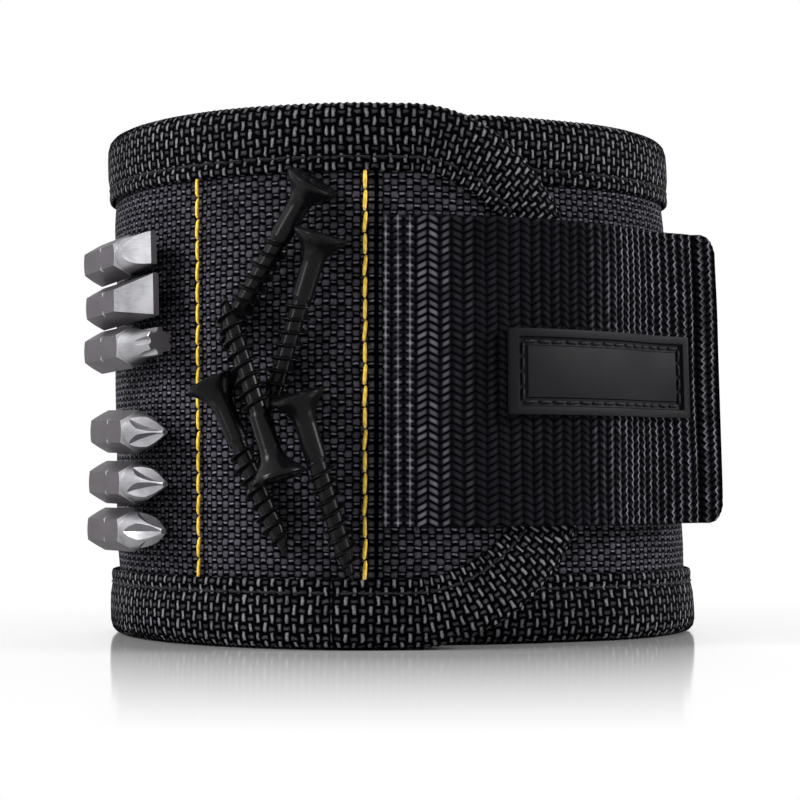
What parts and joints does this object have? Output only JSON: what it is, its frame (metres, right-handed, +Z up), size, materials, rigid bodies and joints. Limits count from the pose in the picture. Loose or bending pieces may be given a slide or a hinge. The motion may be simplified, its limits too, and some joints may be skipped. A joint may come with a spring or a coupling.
{
  "type": "magnetic wristband",
  "caption": "Padded fabric wristband with magnets sewn in, a bound flap and a hook-and-loop strap, holding screws and driver bits.",
  "frame": {"origin": "on the surface that the band stands on, under the middle of the whole part's plan", "axes": "+Z up, along the loop's axis; -Y towards the front, where the strap and screws are; +X to the right of that front view"},
  "size_m": [0.1082, 0.1135, 0.088],
  "materials": {
    "shell_fabric": "charcoal-black basket-weave nylon with a slight sheen",
    "lining_fabric": "black fine mesh lining, matt",
    "foam": "dark grey padding foam, hidden inside",
    "binding_tape": "black ribbed edge-binding tape with glossy yarns",
    "webbing": "black ribbed strap webbing, satin",
    "hook_and_loop": "black hook-and-loop tape, matt",
    "yellow_thread": "golden yellow twisted thread",
    "black_thread": "black twisted thread",
    "label_rubber": "soft black moulded rubber, satin",
    "magnet_nickel": "nickel-plated, hidden inside",
    "black_steel": "black phosphate, satin",
    "bit_steel": "satin blasted tool steel"
  },
  "bodies": {
    "band": {"pocket_panel": "shell_fabric", "outer_shell": "shell_fabric", "band_padding": "foam", "band_lining": "lining_fabric", "band_binding": "binding_tape", "band_binding_thread": "black_thread", "magnet_1_1": "magnet_nickel", "magnet_1_2": "magnet_nickel", "magnet_1_3": "magnet_nickel", "magnet_2_1": "magnet_nickel", "magnet_2_2": "magnet_nickel", "magnet_2_3": "magnet_nickel", "magnet_3_1": "magnet_nickel", "magnet_3_2": "magnet_nickel", "magnet_3_3": "magnet_nickel", "magnet_4_1": "magnet_nickel", "magnet_4_2": "magnet_nickel", "magnet_4_3": "magnet_nickel", "magnet_5_1": "magnet_nickel", "magnet_5_2": "magnet_nickel", "magnet_5_3": "magnet_nickel", "loop_panel": "hook_and_loop", "pocket_stitching_1": "yellow_thread", "pocket_stitching_2": "yellow_thread", "pocket_stitching_3": "yellow_thread", "pocket_stitching_4": "yellow_thread"},
    "flap": {"flap_shell": "shell_fabric", "flap_padding": "foam", "flap_lining": "lining_fabric", "flap_binding": "binding_tape", "flap_binding_thread": "black_thread"},
    "strap": {"strap_webbing": "webbing", "hook_tape": "hook_and_loop", "label": "label_rubber", "label_thread": "black_thread"},
    "screw_1": {"screw_1": "black_steel"},
    "screw_2": {"screw_2": "black_steel"},
    "screw_3": {"screw_3": "black_steel"},
    "screw_4": {"screw_4": "black_steel"},
    "screw_5": {"screw_5": "black_steel"},
    "bit_1": {"bit_1": "bit_steel"},
    "bit_2": {"bit_2": "bit_steel"},
    "bit_3": {"bit_3": "bit_steel"},
    "bit_4": {"bit_4": "bit_steel"},
    "bit_5": {"bit_5": "bit_steel"},
    "bit_6": {"bit_6": "bit_steel"}
  },
  "joints": [
    {"name": "flap_open", "type": "hinge", "parent": "band", "child": "flap", "pos_m": [-0.00386, -0.04704, 0.044], "axis": [0, 0, -1], "range_deg": [0, 25]},
    {"name": "strap_open", "type": "hinge", "parent": "flap", "child": "strap", "pos_m": [-0.00248, -0.04701, 0.0446], "axis": [0, 0, -1], "range_deg": [0, 85]},
    {"name": "screw_1_lift", "type": "slide", "parent": "band", "child": "screw_1", "axis": [-0.7596, -0.4393, 0.4796], "range_m": [0, 0.025]},
    {"name": "screw_2_lift", "type": "slide", "parent": "band", "child": "screw_2", "axis": [0.2569, -0.7807, 0.5697], "range_m": [0, 0.025]},
    {"name": "screw_3_lift", "type": "slide", "parent": "band", "child": "screw_3", "axis": [-0.3632, -0.9317, 0], "range_m": [0, 0.045]},
    {"name": "screw_4_lift", "type": "slide", "parent": "band", "child": "screw_4", "axis": [-0.6833, -0.7302, 0], "range_m": [0, 0.025]},
    {"name": "screw_5_lift", "type": "slide", "parent": "band", "child": "screw_5", "axis": [0.0088, -1, 0], "range_m": [0, 0.025]},
    {"name": "bit_1_lift", "type": "slide", "parent": "band", "child": "bit_1", "axis": [-0.8523, -0.5231, 0], "range_m": [0, 0.025]},
    {"name": "bit_2_lift", "type": "slide", "parent": "band", "child": "bit_2", "axis": [-0.8523, -0.5231, 0], "range_m": [0, 0.025]},
    {"name": "bit_3_lift", "type": "slide", "parent": "band", "child": "bit_3", "axis": [-0.8523, -0.5231, 0], "range_m": [0, 0.025]},
    {"name": "bit_4_lift", "type": "slide", "parent": "band", "child": "bit_4", "axis": [-0.8523, -0.5231, 0], "range_m": [0, 0.025]},
    {"name": "bit_5_lift", "type": "slide", "parent": "band", "child": "bit_5", "axis": [-0.8523, -0.5231, 0], "range_m": [0, 0.025]},
    {"name": "bit_6_lift", "type": "slide", "parent": "band", "child": "bit_6", "axis": [-0.8523, -0.5231, 0], "range_m": [0, 0.025]}
  ]
}
